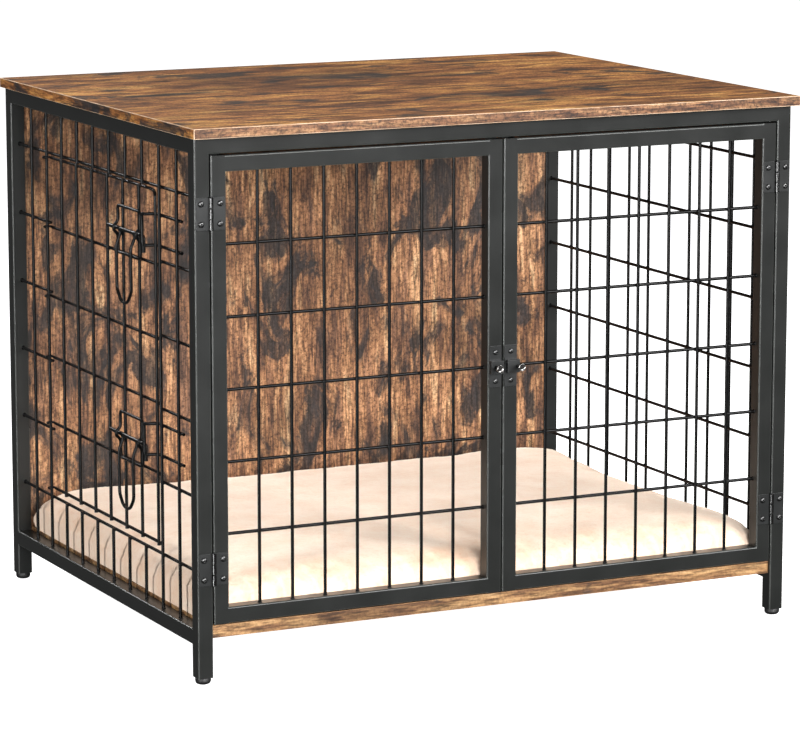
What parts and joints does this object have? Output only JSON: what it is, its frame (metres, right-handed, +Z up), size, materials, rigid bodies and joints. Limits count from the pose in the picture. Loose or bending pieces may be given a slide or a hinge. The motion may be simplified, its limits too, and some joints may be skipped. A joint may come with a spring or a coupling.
{
  "type": "dog crate end table",
  "caption": "Dog crate end table: a square-tube steel frame with a wood-grain top, base and back, hinged barred front doors, a latched wire side door and a plush cushion.",
  "frame": {"origin": "on the floor, under the middle of the table top", "axes": "+X runs along the front from left to right as one faces it, +Y runs from the front to the back, +Z is up"},
  "size_m": [0.8, 0.6367, 0.65],
  "materials": {
    "coated_tube": "matt black powder coat on square steel tube",
    "coated_wire": "matt black powder coat on welded steel wire",
    "black_hinge_steel": "satin black plated steel",
    "black_latch_steel": "satin black plated steel",
    "polished_knob": "polished black chrome",
    "laminated_top": "rustic wood-grain paper laminate on particleboard",
    "laminated_base": "rustic wood-grain paper laminate on particleboard",
    "laminated_back": "rustic wood-grain paper laminate on particleboard",
    "moulded_glide": "matt moulded black plastic",
    "plush_cushion": "short cream plush fleece"
  },
  "bodies": {
    "frame": {"back_panel": "laminated_back", "base_board": "laminated_base", "cushion": "plush_cushion", "front_left_foot": "moulded_glide", "front_left_post": "coated_tube", "front_right_foot": "moulded_glide", "front_right_post": "coated_tube", "front_top_rail": "coated_tube", "left_bottom_rail": "coated_tube", "left_lower_hinge_pin": "black_hinge_steel", "left_lower_hinge_post_leaf": "black_hinge_steel", "left_side_grid": "coated_wire", "left_top_rail": "coated_tube", "left_upper_hinge_pin": "black_hinge_steel", "left_upper_hinge_post_leaf": "black_hinge_steel", "lower_side_keeper": "coated_wire", "rear_bottom_rail": "coated_tube", "rear_left_foot": "moulded_glide", "rear_left_post": "coated_tube", "rear_right_foot": "moulded_glide", "rear_right_post": "coated_tube", "rear_top_rail": "coated_tube", "right_bottom_rail": "coated_tube", "right_lower_hinge_pin": "black_hinge_steel", "right_lower_hinge_post_leaf": "black_hinge_steel", "right_side_grid": "coated_wire", "right_top_rail": "coated_tube", "right_upper_hinge_pin": "black_hinge_steel", "right_upper_hinge_post_leaf": "black_hinge_steel", "table_top": "laminated_top", "upper_side_keeper": "coated_wire"},
    "left_door": {"latch_guide": "black_latch_steel", "left_door_bottom_rail": "coated_tube", "left_door_grille": "coated_wire", "left_door_hinge_stile": "coated_tube", "left_door_lock_stile": "coated_tube", "left_door_top_rail": "coated_tube", "left_lower_hinge_door_leaf": "black_hinge_steel", "left_upper_hinge_door_leaf": "black_hinge_steel"},
    "right_door": {"latch_keeper": "black_latch_steel", "latch_keeper_knob": "polished_knob", "right_door_bottom_rail": "coated_tube", "right_door_grille": "coated_wire", "right_door_hinge_stile": "coated_tube", "right_door_lock_stile": "coated_tube", "right_door_top_rail": "coated_tube", "right_lower_hinge_door_leaf": "black_hinge_steel", "right_upper_hinge_door_leaf": "black_hinge_steel"},
    "side_door": {"lower_latch_bracket": "coated_wire", "side_door": "coated_wire", "upper_latch_bracket": "coated_wire"},
    "front_bolt": {"latch_bolt": "black_latch_steel", "latch_bolt_knob": "polished_knob"},
    "upper_side_bolt": {"upper_pull_handle": "coated_wire", "upper_side_bolt": "coated_wire"},
    "lower_side_bolt": {"lower_pull_handle": "coated_wire", "lower_side_bolt": "coated_wire"}
  },
  "joints": [
    {"name": "left_door_hinge", "type": "hinge", "parent": "frame", "child": "left_door", "pos_m": [-0.37525, -0.3046, 0.344], "axis": [0, 0, 1], "range_deg": [-170, 0]},
    {"name": "right_door_hinge", "type": "hinge", "parent": "frame", "child": "right_door", "pos_m": [0.37525, -0.3046, 0.344], "axis": [0, 0, 1], "range_deg": [0, 170]},
    {"name": "front_bolt_slide", "type": "slide", "parent": "left_door", "child": "front_bolt", "axis": [1, 0, 0], "range_m": [0, 0.011]},
    {"name": "side_door_hinge", "type": "hinge", "parent": "frame", "child": "side_door", "pos_m": [-0.387, 0.18664, 0.35], "axis": [0, 0, 1], "range_deg": [-120, 0]},
    {"name": "upper_side_bolt_slide", "type": "slide", "parent": "side_door", "child": "upper_side_bolt", "axis": [0, -1, 0], "range_m": [0, 0.008]},
    {"name": "lower_side_bolt_slide", "type": "slide", "parent": "side_door", "child": "lower_side_bolt", "axis": [0, -1, 0], "range_m": [0, 0.008]}
  ]
}
